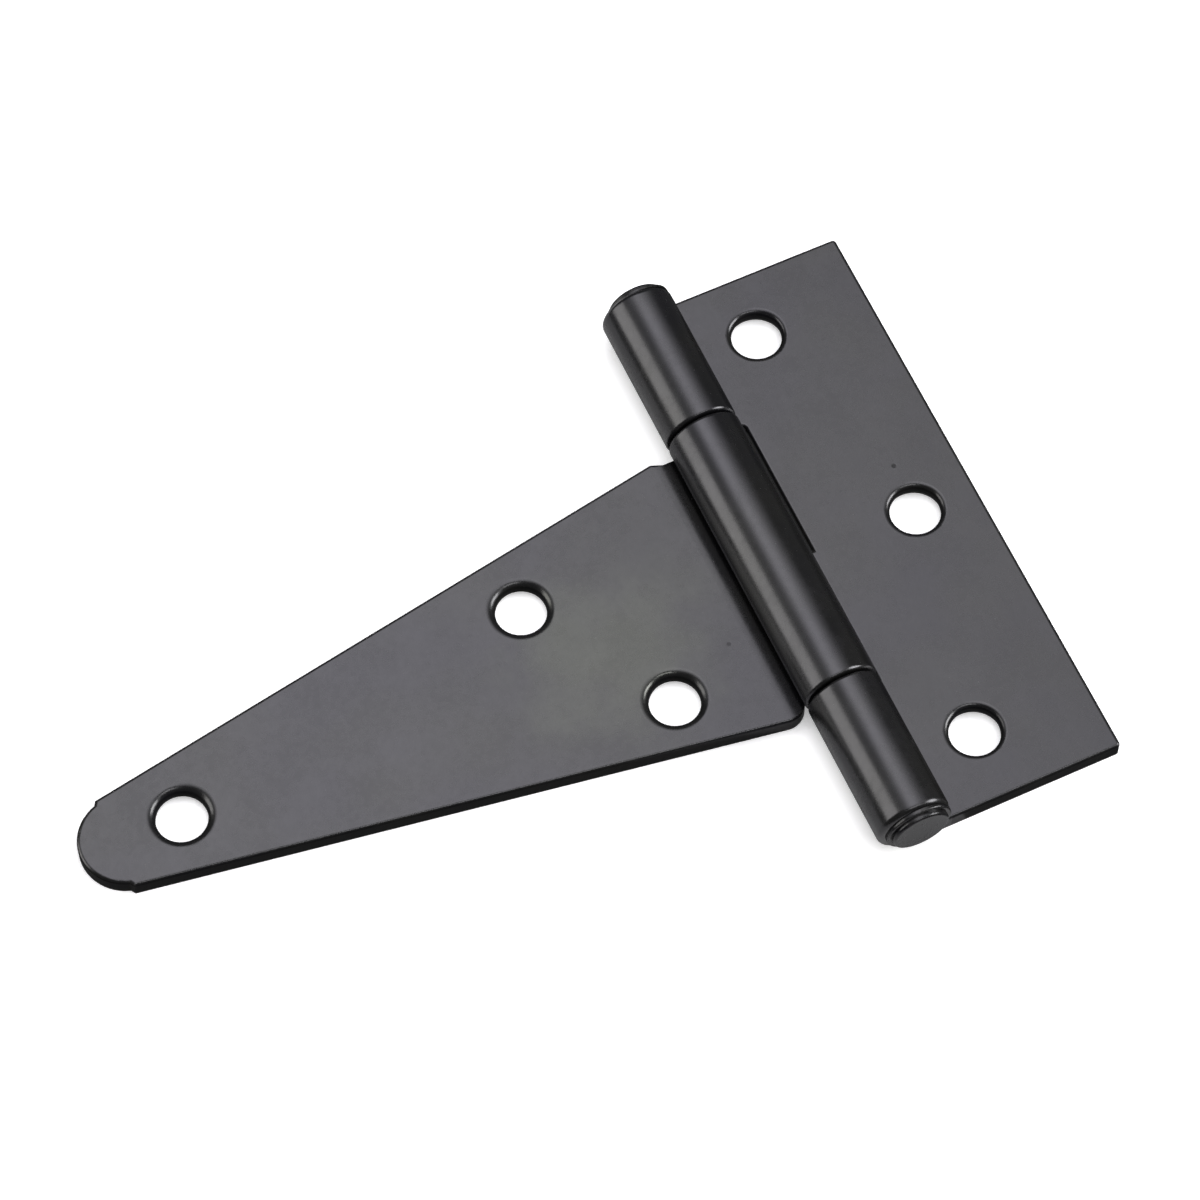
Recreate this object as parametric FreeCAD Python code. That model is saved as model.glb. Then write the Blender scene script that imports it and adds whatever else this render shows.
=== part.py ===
"""T hinge for a gate or shed door: butt leaf, strap leaf and headed hinge pin.

Millimetres. The hinge lies open and flat on its back: both leaf backs are on z = 0, the pin
runs along Y above the origin, the strap points to -X and the butt leaf to +X.
"""
import math
import os

import FreeCAD, Part
from FreeCAD import Vector

# Sheet, barrel and pin
plate_t = 2.3
pin_r = 2.3
bore_r = 2.35
barrel_r = bore_r + plate_t
pin_z = barrel_r
curl_end_deg = 28.0
curl_sweep_deg = 270 + curl_end_deg
curl_lip_r = 0.3
knuckle_gap = 0.3
seam_rim_r = 0.45
end_rim_r = 0.75

# Butt leaf, with the notch that the strap's knuckle turns in
butt_height = 76.2
butt_reach = 27.2
butt_corner_r = 0.5
half_height = butt_height / 2
seam_y = butt_height / 4
notch_half = seam_y + knuckle_gap / 2
notch_x = 5.15
notch_deep_x = 5.65
notch_step_y = 0.2
notch_corner_r = 0.7

# Strap leaf, from the knuckle to the shouldered round tip. Its root is necked in just above
# the leaf's widest line on the upper side, and cut away in one wide curve on the lower side
strap_reach = 88.9
strap_knuckle_half = seam_y - knuckle_gap / 2
neck_half = 18.4
neck_x = -5.6
root_x = -7.0
root_half = 18.98
root_upper_r = 0.6
relief_x = -3.7
relief_half = 16.2
relief_r = 2.7
shoulder_x = -84.6
shoulder_half = 6.0
tip_start_x = -84.95
tip_start_half = 5.45

# Hollow along the strap's front, where the lip of the curl closes over it
set_start_x = -6.7
set_deep_x = -3.8
set_end_x = -3.4
set_r = 9.7

# Screw holes: straight throat, widened behind by the break-out of the punch and rounded out
# to the front face
hole_r = 3.1
throat_h = 0.5
back_r = 3.45
strap_mouth_r = 4.2
butt_mouth_r = 3.85
butt_holes = [(12.5, 29.8), (19.3, 0.0), (12.5, -29.2)]
strap_holes = [(-29.2, 7.8), (-17.7, -10.7), (-76.2, 0.0)]

# Rounding left by shearing on the front edges
edge_r = 0.45

# Formed ends of the pin: a collar pressed against the knuckle, then the head on it. Both sit
# a little off the pin line, towards the butt leaf
collar_r = 4.15
collar_h = 0.45
collar_edge_r = 0.2
head_r = 3.6
head_h = 1.05
head_edge_r = 0.35
head_offset = 0.4

near = 1e-4
clear = 1.0
half_round = math.sqrt(0.5)


def lines(points):
    """Straight edges through a list of points."""
    vectors = [Vector(*p) for p in points]
    return [Part.makeLine(a, b) for a, b in zip(vectors[:-1], vectors[1:])]


def arc(a, b, c):
    return Part.Arc(Vector(*a), Vector(*b), Vector(*c)).toShape()


def face_of(edges):
    return Part.Face(Part.Wire(Part.__sortEdges__(edges)))


def plate(edges):
    """Sheet with a closed outline on z = 0."""
    return face_of(edges).extrude(Vector(0, 0, plate_t))


def round_corner(leaf, x, y, radius):
    """Round the upright edge at one corner of a plate's outline."""
    def distance(vertex):
        return math.hypot(vertex.X - x, vertex.Y - y)

    chosen = [e for e in leaf.Edges if max(distance(v) for v in e.Vertexes) < near]
    return leaf.makeFillet(radius, chosen)


def round_front(leaf):
    """Round the front edges, except the line where the sheet runs into its knuckle."""
    def is_free(edge):
        box = edge.BoundBox
        in_front = box.ZMin > plate_t - near
        at_knuckle = max(abs(box.XMin), abs(box.XMax)) < near
        return in_front and not at_knuckle

    return leaf.makeFillet(edge_r, [e for e in leaf.Edges if is_free(e)])


def screw_hole(x, y, mouth_r):
    """Tool that cuts one hole with a rounded mouth from the front."""
    flare = mouth_r - hole_r
    mid = flare * (1 - half_round)
    throat_end = (hole_r, 0, plate_t - flare)
    throat_start = (hole_r, 0, plate_t - flare - throat_h)
    rim = (mouth_r, 0, plate_t)
    above = plate_t + clear
    throat = [(0, 0, -clear), (back_r, 0, -clear), (back_r, 0, 0), throat_start, throat_end]
    outside = [rim, (mouth_r, 0, above), (0, 0, above), (0, 0, -clear)]
    mouth = arc(throat_end, (hole_r + mid, 0, plate_t - mid), rim)
    profile = face_of(lines(throat) + [mouth] + lines(outside))
    tool = profile.revolve(Vector(0, 0, 0), Vector(0, 0, 1), 360)
    tool.translate(Vector(x, y, 0))
    return tool


def curl_hollow():
    """Tool that cuts the hollow in the strap's front along the closing line of the curl."""
    def front_z(x):
        return plate_t - set_r + math.sqrt(set_r ** 2 - (x - set_start_x) ** 2)

    def point(x, z):
        return (x, -half_height, z)

    mid_x = (set_start_x + set_deep_x) / 2
    start, end = point(set_start_x, plate_t), point(set_end_x, plate_t)
    deep = point(set_deep_x, front_z(set_deep_x))
    above = plate_t + clear
    fall = arc(start, point(mid_x, front_z(mid_x)), deep)
    rise = lines([deep, end, point(set_end_x, above), point(set_start_x, above), start])
    return face_of([fall] + rise).extrude(Vector(0, 2 * half_height, 0))


def rim_radius(y):
    """Rounding of the knuckle rim at this height: wider at the two ends of the barrel."""
    return end_rim_r if abs(y) > half_height - near else seam_rim_r


def knuckle(y0, y1, start_deg):
    """Sheet rolled round the pin line, with rounded rims and a rounded lip where it ends.

    Angles are in the XZ plane, counted from +X towards +Z. The roll starts at start_deg and
    goes towards +Z. One of its two ends runs into the leaf at the very bottom.
    """
    inner = pin_z + bore_r
    outer = pin_z + barrel_r
    rim0, rim1 = rim_radius(y0), rim_radius(y1)
    mid0, mid1 = rim0 * (1 - half_round), rim1 * (1 - half_round)
    section = face_of(
        lines([(0, y0 + rim0, outer), (0, y1 - rim1, outer)])
        + [arc((0, y1 - rim1, outer), (0, y1 - mid1, outer - mid1), (0, y1, outer - rim1))]
        + lines([(0, y1, outer - rim1), (0, y1, inner), (0, y0, inner), (0, y0, outer - rim0)])
        + [arc((0, y0, outer - rim0), (0, y0 + mid0, outer - mid0), (0, y0 + rim0, outer))])
    pin_line = Vector(0, 0, pin_z)
    section.rotate(pin_line, Vector(0, 1, 0), 90 - start_deg)
    roll = section.revolve(pin_line, Vector(0, -1, 0), curl_sweep_deg)
    return roll.makeFillet(curl_lip_r, [e for e in roll.Edges if is_curl_lip(e, y1 - y0)])


def is_curl_lip(edge, length):
    """The outer straight edge of a roll's free end, which faces its leaf."""
    box = edge.BoundBox
    straight = box.YLength > length - 3 * end_rim_r and box.XLength + box.ZLength < near
    lip_z = pin_z - barrel_r * math.sin(math.radians(curl_end_deg))
    return straight and abs(box.ZMin - lip_z) < near


def make_butt_leaf():
    outline = [
        (0, notch_half), (0, half_height), (butt_reach, half_height),
        (butt_reach, -half_height), (0, -half_height), (0, -notch_half),
        (notch_x, -notch_half), (notch_x, notch_step_y), (notch_deep_x, notch_step_y),
        (notch_deep_x, notch_half), (0, notch_half),
    ]
    leaf = plate(lines(outline))
    leaf = round_corner(leaf, butt_reach, half_height, butt_corner_r)
    leaf = round_corner(leaf, butt_reach, -half_height, butt_corner_r)
    leaf = round_corner(leaf, notch_x, -notch_half, notch_corner_r)
    leaf = round_corner(leaf, notch_deep_x, notch_half, notch_corner_r)
    leaf = round_front(leaf)
    for x, y in butt_holes:
        leaf = leaf.cut(screw_hole(x, y, butt_mouth_r))
    for y0, y1 in ((notch_half, half_height), (-half_height, -notch_half)):
        leaf = leaf.fuse(knuckle(y0, y1, -curl_end_deg))
    return leaf.removeSplitter()


def make_strap_leaf():
    taper = (root_half - shoulder_half) / (root_x - shoulder_x)
    relief_corner_half = root_half + taper * (relief_x - root_x)
    upper = [(0, neck_half), (neck_x, neck_half), (root_x, root_half),
             (shoulder_x, shoulder_half), (tip_start_x, tip_start_half)]
    lower = [(tip_start_x, -tip_start_half), (shoulder_x, -shoulder_half),
             (relief_x, -relief_corner_half), (relief_x, -relief_half), (0, -relief_half)]
    tip = arc(upper[-1], (-strap_reach, 0), lower[0])
    leaf = plate(lines(upper) + [tip] + lines(lower) + lines([lower[-1], upper[0]]))
    leaf = round_corner(leaf, root_x, root_half, root_upper_r)
    leaf = round_corner(leaf, relief_x, -relief_corner_half, relief_r)
    leaf = round_front(leaf)
    leaf = leaf.cut(curl_hollow())
    for x, y in strap_holes:
        leaf = leaf.cut(screw_hole(x, y, strap_mouth_r))
    leaf = leaf.fuse(knuckle(-strap_knuckle_half, strap_knuckle_half, -90))
    return leaf.removeSplitter()


def pin_head(side):
    """Collar and head at one end of the pin, seated on the end of the knuckle."""
    def point(radius, height):
        return (head_offset, side * (half_height + height), pin_z + radius)

    def edge(radius, top, rounding):
        mid = rounding * (1 - half_round)
        return arc(point(radius, top - rounding), point(radius - mid, top - mid),
                   point(radius - rounding, top))

    profile = face_of(
        lines([point(0, 0), point(collar_r, 0), point(collar_r, collar_h - collar_edge_r)])
        + [edge(collar_r, collar_h, collar_edge_r)]
        + lines([point(collar_r - collar_edge_r, collar_h), point(head_r, collar_h),
                 point(head_r, head_h - head_edge_r)])
        + [edge(head_r, head_h, head_edge_r)]
        + lines([point(head_r - head_edge_r, head_h), point(0, head_h), point(0, 0)]))
    return profile.revolve(Vector(head_offset, 0, pin_z), Vector(0, 1, 0), 360)


def make_hinge_pin():
    """Pin that runs free in the strap's knuckle and is swelled tight in the butt's."""
    half_shank = lines([(0, 0, pin_z), (0, 0, pin_z + pin_r), (0, seam_y, pin_z + pin_r),
                        (0, seam_y, pin_z + bore_r), (0, half_height, pin_z + bore_r),
                        (0, half_height, pin_z), (0, 0, pin_z)])
    half = face_of(half_shank).revolve(Vector(0, 0, pin_z), Vector(0, 1, 0), 360)
    pin = half.fuse(half.mirror(Vector(0, 0, 0), Vector(0, 1, 0)))
    return pin.fuse(pin_head(1)).fuse(pin_head(-1)).removeSplitter()


nodes = {
    "butt_leaf": make_butt_leaf,
    "strap_leaf": make_strap_leaf,
    "hinge_pin": make_hinge_pin,
}
os.makedirs("parts", exist_ok=True)
for name, make in nodes.items():
    solid = make().Solids[0]
    solid.exportStep("parts/%s.step" % name)
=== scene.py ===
import math

import bpy
from mathutils import Matrix, Vector

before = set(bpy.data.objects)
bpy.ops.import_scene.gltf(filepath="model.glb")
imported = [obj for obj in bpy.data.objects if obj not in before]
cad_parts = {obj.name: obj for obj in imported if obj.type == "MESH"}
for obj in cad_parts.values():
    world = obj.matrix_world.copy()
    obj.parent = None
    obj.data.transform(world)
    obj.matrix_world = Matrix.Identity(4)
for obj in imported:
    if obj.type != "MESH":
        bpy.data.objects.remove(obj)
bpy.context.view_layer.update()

MM = 0.001
PIN_Z = 4.65 * MM
BARREL_R = 4.65 * MM
PLATE_T = 2.3 * MM

# ---------------------------------------------------------------- camera
AIM = Vector((-19.7, 5.94, 0.0)) * MM
AZIMUTH, ELEVATION = -24.94, 63.03
DISTANCE = 0.597
LENS = 150.0
SENSOR = 36.0
CLIP_START, CLIP_END = 0.01, 20.0


def direction(azimuth, elevation):
    """Unit vector from the object towards a viewer at these angles."""
    a, e = math.radians(azimuth), math.radians(elevation)
    return Vector((math.sin(a) * math.cos(e), -math.cos(a) * math.cos(e), math.sin(e)))


def make_camera():
    data = bpy.data.cameras.new("camera")
    data.lens, data.sensor_width = LENS, SENSOR
    data.clip_start, data.clip_end = CLIP_START, CLIP_END
    camera = bpy.data.objects.new("camera", data)
    back = direction(AZIMUTH, ELEVATION)
    camera.location = AIM + back * DISTANCE
    camera.rotation_mode = "QUATERNION"
    camera.rotation_quaternion = (-back).to_track_quat("-Z", "Y")
    bpy.context.scene.collection.objects.link(camera)
    bpy.context.scene.camera = camera


# ---------------------------------------------------------------- light
LAMP_DISTANCE = 0.8
COOL, WARM, NEUTRAL = (0.965, 0.955, 1.0), (1.0, 0.985, 0.95), (1.0, 1.0, 1.0)
WORLD_STRENGTH = 0.11

# Row of boxes over the barrel, brightest straight above it and fading to each side
TOP_COUNT = 9
TOP_FIRST_ROLL, TOP_STEP = -20.0, 8.0
TOP_RADIANCE = 3.9
TOP_LEFT_FADE, TOP_RIGHT_FADE = 17.0, 29.0
TOP_Y0, LEFT_Y0, BOX_Y1 = -0.24, 0.1, 0.64


def lamp(name, centre, facing, along, size, radiance, colour):
    """Flat soft box. facing points away from its lit side, along runs with its second side."""
    data = bpy.data.lights.new(name, "AREA")
    data.shape = "RECTANGLE"
    data.size, data.size_y = size
    data.energy = radiance * math.pi * size[0] * size[1]
    data.color = colour
    obj = bpy.data.objects.new(name, data)
    facing = Vector(facing).normalized()
    along = Vector(along)
    along = (along - facing * along.dot(facing)).normalized()
    across = along.cross(facing)
    turn = Matrix((across, along, facing)).transposed()
    obj.matrix_world = Matrix.Translation(centre) @ turn.to_4x4()
    obj.visible_camera = False
    bpy.context.scene.collection.objects.link(obj)


def barrel_lamp(name, roll0, roll1, y0, radiance, colour):
    """Soft box along the barrel, between two angles about the pin counted from +Z to +X."""
    roll = math.radians((roll0 + roll1) / 2)
    width = 2 * LAMP_DISTANCE * math.tan(math.radians(abs(roll1 - roll0) / 2))
    out = Vector((math.sin(roll), 0, math.cos(roll)))
    centre = out * LAMP_DISTANCE + Vector((0, (y0 + BOX_Y1) / 2, 0))
    lamp(name, centre, out, (0, 1, 0), (width, BOX_Y1 - y0), radiance, colour)


def far_lamp(name, toward, along, size, radiance):
    """Soft box in a given direction from the hinge."""
    toward = Vector(toward).normalized()
    lamp(name, toward * LAMP_DISTANCE, toward, along, size, radiance, NEUTRAL)


def make_lights():
    for i in range(TOP_COUNT):
        roll = TOP_FIRST_ROLL + TOP_STEP * i
        fade = TOP_LEFT_FADE if roll < 0 else TOP_RIGHT_FADE
        radiance = TOP_RADIANCE * math.exp(-(roll / fade) ** 2)
        barrel_lamp("top_box_%d" % i, roll - TOP_STEP / 2, roll + TOP_STEP / 2, TOP_Y0,
                    radiance, COOL)
    barrel_lamp("left_box", -85.0, -46.0, LEFT_Y0, 4.0, WARM)
    barrel_lamp("gap_box", -46.0, -24.0, LEFT_Y0, 0.55, NEUTRAL)
    far_lamp("rim_box", (0.82, -0.35, 0.42), (0, 0, 1), (0.5, 0.36), 12.0)
    far_lamp("front_box", (0.1, -0.62, 0.78), (1, 0, 0), (0.12, 0.5), 8.0)


def make_world():
    world = bpy.data.worlds.new("world")
    world.use_nodes = True
    background = world.node_tree.nodes["Background"]
    background.inputs["Color"].default_value = (1, 1, 1, 1)
    background.inputs["Strength"].default_value = WORLD_STRENGTH
    bpy.context.scene.world = world


# ---------------------------------------------------------------- stage
SWEEP_HALF, SWEEP_Z = 1.5, -0.02 * MM
SWEEP_ALBEDO, SWEEP_GLOW = 0.93, 0.35
CARD_X0, CARD_X1, CARD_Z = -26 * MM, 7 * MM, -0.04 * MM
CARD_INNER, CARD_OUTER = 19 * MM, 70 * MM
CARD_ALBEDO = 0.48
STAGE_ROUGHNESS = 0.9


def floor(name, x0, x1, y0, y1, z, albedo, glow):
    """Level rectangle of matt white or grey that isn't part of the object."""
    mesh = bpy.data.meshes.new(name)
    mesh.from_pydata([(x0, y0, z), (x1, y0, z), (x1, y1, z), (x0, y1, z)], [], [(0, 1, 2, 3)])
    obj = bpy.data.objects.new(name, mesh)
    bpy.context.scene.collection.objects.link(obj)
    mat = bpy.data.materials.new(name)
    mat.use_nodes = True
    shader = mat.node_tree.nodes["Principled BSDF"]
    shader.inputs["Base Color"].default_value = (albedo, albedo, albedo, 1)
    shader.inputs["Roughness"].default_value = STAGE_ROUGHNESS
    shader.inputs["Specular IOR Level"].default_value = 0.0
    shader.inputs["Emission Color"].default_value = (1, 1, 1, 1)
    shader.inputs["Emission Strength"].default_value = glow
    mesh.materials.append(mat)
    return obj


def make_stage():
    """White sweep that only the camera sees, and pale cards by the outer knuckles."""
    sweep = floor("sweep", -SWEEP_HALF, SWEEP_HALF, -SWEEP_HALF, SWEEP_HALF, SWEEP_Z,
                  SWEEP_ALBEDO, SWEEP_GLOW)
    sweep.visible_diffuse = False
    sweep.visible_glossy = False
    sweep.visible_shadow = False
    for name, y0, y1 in (("lower_card", -CARD_OUTER, -CARD_INNER),
                         ("upper_card", CARD_INNER, CARD_OUTER)):
        card = floor(name, CARD_X0, CARD_X1, y0, y1, CARD_Z, CARD_ALBEDO, 0.0)
        card.visible_camera = False


# ---------------------------------------------------------------- node helpers
# A Mix node has sockets for every kind of data: these are A, B and the result of each kind
MIX_SOCKETS = {"VECTOR": (4, 5, 1), "RGBA": (6, 7, 2)}


def add(tree, kind, settings, inputs):
    """New node, its inputs given a value or joined to another node's socket."""
    made = tree.nodes.new(kind)
    for key, value in settings.items():
        setattr(made, key, value)
    for key, value in inputs.items():
        if isinstance(value, bpy.types.NodeSocket):
            tree.links.new(value, made.inputs[key])
        else:
            made.inputs[key].default_value = value
    return made


def math_node(tree, operation, *values):
    return add(tree, "ShaderNodeMath", {"operation": operation}, dict(enumerate(values))).outputs[0]


def times(tree, a, b):
    return math_node(tree, "MULTIPLY", a, b)


def plus(tree, a, b):
    return math_node(tree, "ADD", a, b)


def mix(tree, kind, factor, a, b):
    first, second, result = MIX_SOCKETS[kind]
    made = add(tree, "ShaderNodeMix", {"data_type": kind}, {"Factor": factor, first: a, second: b})
    return made.outputs[result]


def noise(tree, place, size, detail):
    """Noise whose features are about this size."""
    return add(tree, "ShaderNodeTexNoise", {},
               {"Vector": place, "Scale": 1 / size, "Detail": detail, "Roughness": 0.55}).outputs["Fac"]


def ramp(tree, value, from0, from1, to0=0.0, to1=1.0):
    """Smooth step from to0 to to1 as the value goes from from0 to from1."""
    return add(tree, "ShaderNodeMapRange", {"interpolation_type": "SMOOTHSTEP"},
               {"Value": value, "From Min": from0, "From Max": from1, "To Min": to0,
                "To Max": to1}).outputs["Result"]


def bump(tree, height, depth, normal):
    return add(tree, "ShaderNodeBump", {},
               {"Height": height, "Distance": depth, "Strength": 1.0, "Normal": normal}).outputs[0]


def axes(tree, vector):
    """The X, Y and Z sockets of a vector."""
    return add(tree, "ShaderNodeSeparateXYZ", {}, {"Vector": vector}).outputs


# ---------------------------------------------------------------- black coating
COOL_BLACK, WARM_BLACK = (0.0038, 0.0038, 0.0046, 1), (0.0054, 0.0054, 0.0050, 1)
DUST_GREY, WORN_GREY = (0.05, 0.05, 0.048, 1), (0.040, 0.038, 0.036, 1)
COOL_GLOSS, PALE_GLOSS = (0.955, 0.945, 1.0, 1), (0.985, 0.98, 1.0, 1)
OLIVE_GLOSS = (0.975, 1.0, 0.92, 1)
# Reflection level on the plate walls, kept low to paint the shade they sit in
WALL_SHADE_LEVEL = 0.22
CELL_SIZE = 9 * MM


def sheared_shaded_wall_mask(tree, at, facing):
    """Sheared walls: upright faces of the plates, clear of the barrel; their weaker reflection is
    painted shade.
    """
    upright = ramp(tree, math_node(tree, "ABSOLUTE", facing["Z"]), 0.35, 0.75, 1.0, 0.0)
    away = ramp(tree, math_node(tree, "ABSOLUTE", at["X"]), 4.8 * MM, 5.2 * MM)
    low = ramp(tree, at["Z"], PLATE_T - 0.25 * MM, PLATE_T - 0.05 * MM, 1.0, 0.0)
    return times(tree, times(tree, upright, away), low)


def worn_mask(tree, place, surface_normal):
    """Edges where the coating is thin, in patches."""
    bevel = add(tree, "ShaderNodeBevel", {"samples": 4}, {"Radius": 0.5 * MM}).outputs["Normal"]
    agree = add(tree, "ShaderNodeVectorMath", {"operation": "DOT_PRODUCT"},
                {0: bevel, 1: surface_normal}).outputs["Value"]
    patches = ramp(tree, noise(tree, place, 1.6 * MM, 4.0), 0.45, 0.62)
    return times(tree, ramp(tree, agree, 0.995, 0.93), patches)


def pit_mask(tree, place):
    """Small pits in the coating, a few on each leaf."""
    cells = add(tree, "ShaderNodeTexVoronoi", {}, {"Vector": place, "Scale": 1 / CELL_SIZE}).outputs
    chosen = ramp(tree, axes(tree, cells["Color"])["X"], 0.55, 0.6)
    return times(tree, ramp(tree, cells["Distance"], 0.02, 0.045, 1.0, 0.0), chosen)


def olive_blotch_mask(tree, own, place, centre):
    """Ragged blotch around a given centre where the reflection is made olive and brighter."""
    reach = add(tree, "ShaderNodeVectorMath", {"operation": "DISTANCE"},
                {0: own, 1: centre}).outputs["Value"]
    ragged = times(tree, noise(tree, place, 7 * MM, 3.0), 18 * MM)
    return ramp(tree, plus(tree, reach, ragged), 12 * MM, 26 * MM, 1.0, 0.0)


def coating_colour(tree, place, dust, worn):
    """Blotches of cooler and warmer black, light dust, and edges worn thin."""
    blotches = ramp(tree, noise(tree, place, 14 * MM, 3.0), 0.35, 0.65)
    tint = mix(tree, "RGBA", blotches, COOL_BLACK, WARM_BLACK)
    tint = mix(tree, "RGBA", times(tree, dust, 0.5), tint, DUST_GREY)
    return mix(tree, "RGBA", times(tree, worn, 0.5), tint, WORN_GREY)


def coating_roughness(tree, place, dust, sheared_shaded_wall):
    """Satin, cloudy at the size of a few millimetres, duller where sheared or dusty."""
    cloud = ramp(tree, noise(tree, place, 5 * MM, 4.0), 0.3, 0.7, 0.235, 0.285)
    fine = ramp(tree, noise(tree, place, 0.8 * MM, 3.0), 0.3, 0.7, -0.02, 0.02)
    rough = plus(tree, cloud, fine)
    rough = plus(tree, rough, times(tree, sheared_shaded_wall, 0.06))
    return plus(tree, rough, times(tree, dust, 0.15))


def coating_level(tree, level, sheared_shaded_wall, pits, olive_blotch):
    """Strength of the reflection: less on walls as painted shade, in pits and at grazing angles, more
    on the olive blotch.
    """
    grazing = add(tree, "ShaderNodeLayerWeight", {}, {"Blend": 0.5}).outputs["Facing"]
    # Weaker reflection on the walls is painted shade
    shine = times(tree, ramp(tree, sheared_shaded_wall, 0.0, 1.0, level, WALL_SHADE_LEVEL),
                  ramp(tree, grazing, 0.5, 0.95, 1.0, 0.12))
    shine = times(tree, shine, ramp(tree, pits, 0.0, 1.0, 1.0, 0.45))
    return times(tree, shine, ramp(tree, olive_blotch, 0.0, 1.0, 1.0, 1.18))


def coating_gloss_tint(tree, place, olive_blotch):
    """Slightly blue reflection, uneven, and olive on the blotch."""
    uneven = ramp(tree, noise(tree, place, 20 * MM, 2.0), 0.35, 0.65)
    return mix(tree, "RGBA", olive_blotch, mix(tree, "RGBA", uneven, COOL_GLOSS, PALE_GLOSS), OLIVE_GLOSS)


def rolled_normal(tree, at, smooth, spiral_deg):
    """Normal of a roll that opens a little, so that it isn't quite round about the pin."""
    rise = math_node(tree, "SUBTRACT", at["Z"], PIN_Z)
    turn = math_node(tree, "ARCTAN2", at["X"], rise)
    tilted = bump(tree, turn, BARREL_R * math.tan(math.radians(spiral_deg)), smooth)
    on_roll = ramp(tree, at["Z"], PLATE_T + 0.02 * MM, PLATE_T + 0.06 * MM)
    return mix(tree, "VECTOR", on_roll, smooth, tilted)


def coating_normal(tree, place, rolled, pits, sheared_shaded_wall):
    """Slow waviness, orange peel and pits in the coating, and shear marks on the walls."""
    normal = bump(tree, noise(tree, place, 13 * MM, 1.0), 0.12 * MM, rolled)
    normal = bump(tree, noise(tree, place, 1.3 * MM, 2.0), 0.007 * MM, normal)
    normal = bump(tree, pits, -0.02 * MM, normal)
    stretched = add(tree, "ShaderNodeMapping", {}, {"Vector": place, "Scale": (1.0, 1.0, 0.15)})
    shear = noise(tree, stretched.outputs["Vector"], 0.25 * MM, 2.0)
    return bump(tree, times(tree, shear, sheared_shaded_wall), 0.02 * MM, normal)


def black_coating(name, seed, spiral_deg, level, olive_blotch_centre):
    """Satin black coating on rolled and sheared steel sheet."""
    mat = bpy.data.materials.new(name)
    mat.use_nodes = True
    tree = mat.node_tree
    shader = tree.nodes["Principled BSDF"]
    coords = tree.nodes.new("ShaderNodeTexCoord")
    smooth = tree.nodes.new("ShaderNodeNewGeometry").outputs["Normal"]
    own = coords.outputs["Object"]
    place = add(tree, "ShaderNodeMapping", {},
                {"Vector": own, "Location": (seed, 2 * seed, -seed)}).outputs["Vector"]
    at = axes(tree, own)

    sheared_shaded_wall = sheared_shaded_wall_mask(tree, at, axes(tree, coords.outputs["Normal"]))
    worn = worn_mask(tree, place, smooth)
    pits = pit_mask(tree, place)
    olive_blotch = olive_blotch_mask(tree, own, place, olive_blotch_centre)
    dust = ramp(tree, noise(tree, place, 0.35 * MM, 2.0), 0.70, 0.78)
    rolled = rolled_normal(tree, at, smooth, spiral_deg)

    surface = {
        "Base Color": coating_colour(tree, place, dust, worn),
        "Roughness": coating_roughness(tree, place, dust, sheared_shaded_wall),
        "Specular IOR Level": coating_level(tree, level, sheared_shaded_wall, pits, olive_blotch),
        "Specular Tint": coating_gloss_tint(tree, place, olive_blotch),
        "Normal": coating_normal(tree, place, rolled, pits, sheared_shaded_wall),
    }
    for socket, value in surface.items():
        tree.links.new(value, shader.inputs[socket])
    return mat


def make_materials():
    # noise seed, degrees that the roll opens by, specular level, middle of the olive blotch
    settings = {
        "butt_leaf": (0.31, 3.5, 0.52, (62 * MM, -20 * MM, 0)),
        "strap_leaf": (0.77, -3.0, 0.53, (-22 * MM, -2 * MM, 0)),
        "hinge_pin": (1.43, 0.0, 0.36, (0, 0, 0)),
    }
    for name, values in settings.items():
        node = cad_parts[name]
        node.data.materials.clear()
        node.data.materials.append(black_coating("black_" + name, *values))


bpy.context.scene.view_settings.view_transform = "Standard"
make_camera()
make_stage()
make_lights()
make_world()
make_materials()
